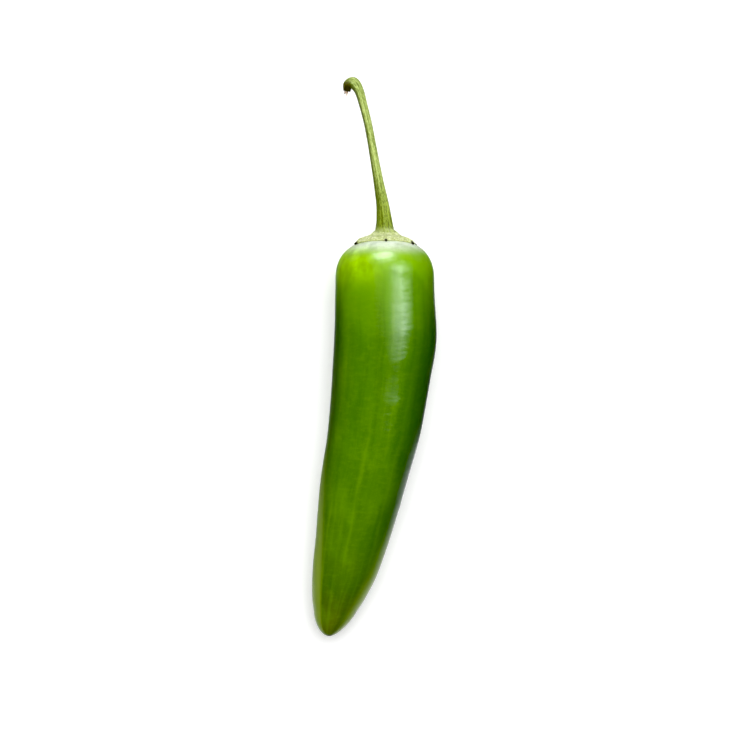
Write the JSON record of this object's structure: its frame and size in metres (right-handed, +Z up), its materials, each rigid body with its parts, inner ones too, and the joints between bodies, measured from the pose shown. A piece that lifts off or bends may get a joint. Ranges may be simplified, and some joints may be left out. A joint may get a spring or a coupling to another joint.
{
  "type": "chilli pepper",
  "caption": "Fresh green chilli as picked: a long tapered pod, gently bent, lying on its side, with a toothed calyx cap and a thin stalk that hooks over at its scar.",
  "frame": {"origin": "on the surface that the chilli lies on, under the middle of its outline seen from above", "axes": "+Y from the pod's tip towards the stalk, +Z up, away from the surface; the pod bends towards -X at its tip"},
  "size_m": [0.0316, 0.1409, 0.0248],
  "materials": {
    "pod_skin": "waxy gloss, chartreuse at the shoulder, deeper green along the body, faint lengthwise streaks",
    "stalk_skin": "matte pale yellow-green, ribbed and finely speckled, browned at the scar and at the calyx teeth"
  },
  "bodies": {
    "root": {"pod": "pod_skin", "stalk": "stalk_skin"}
  },
  "joints": []
}
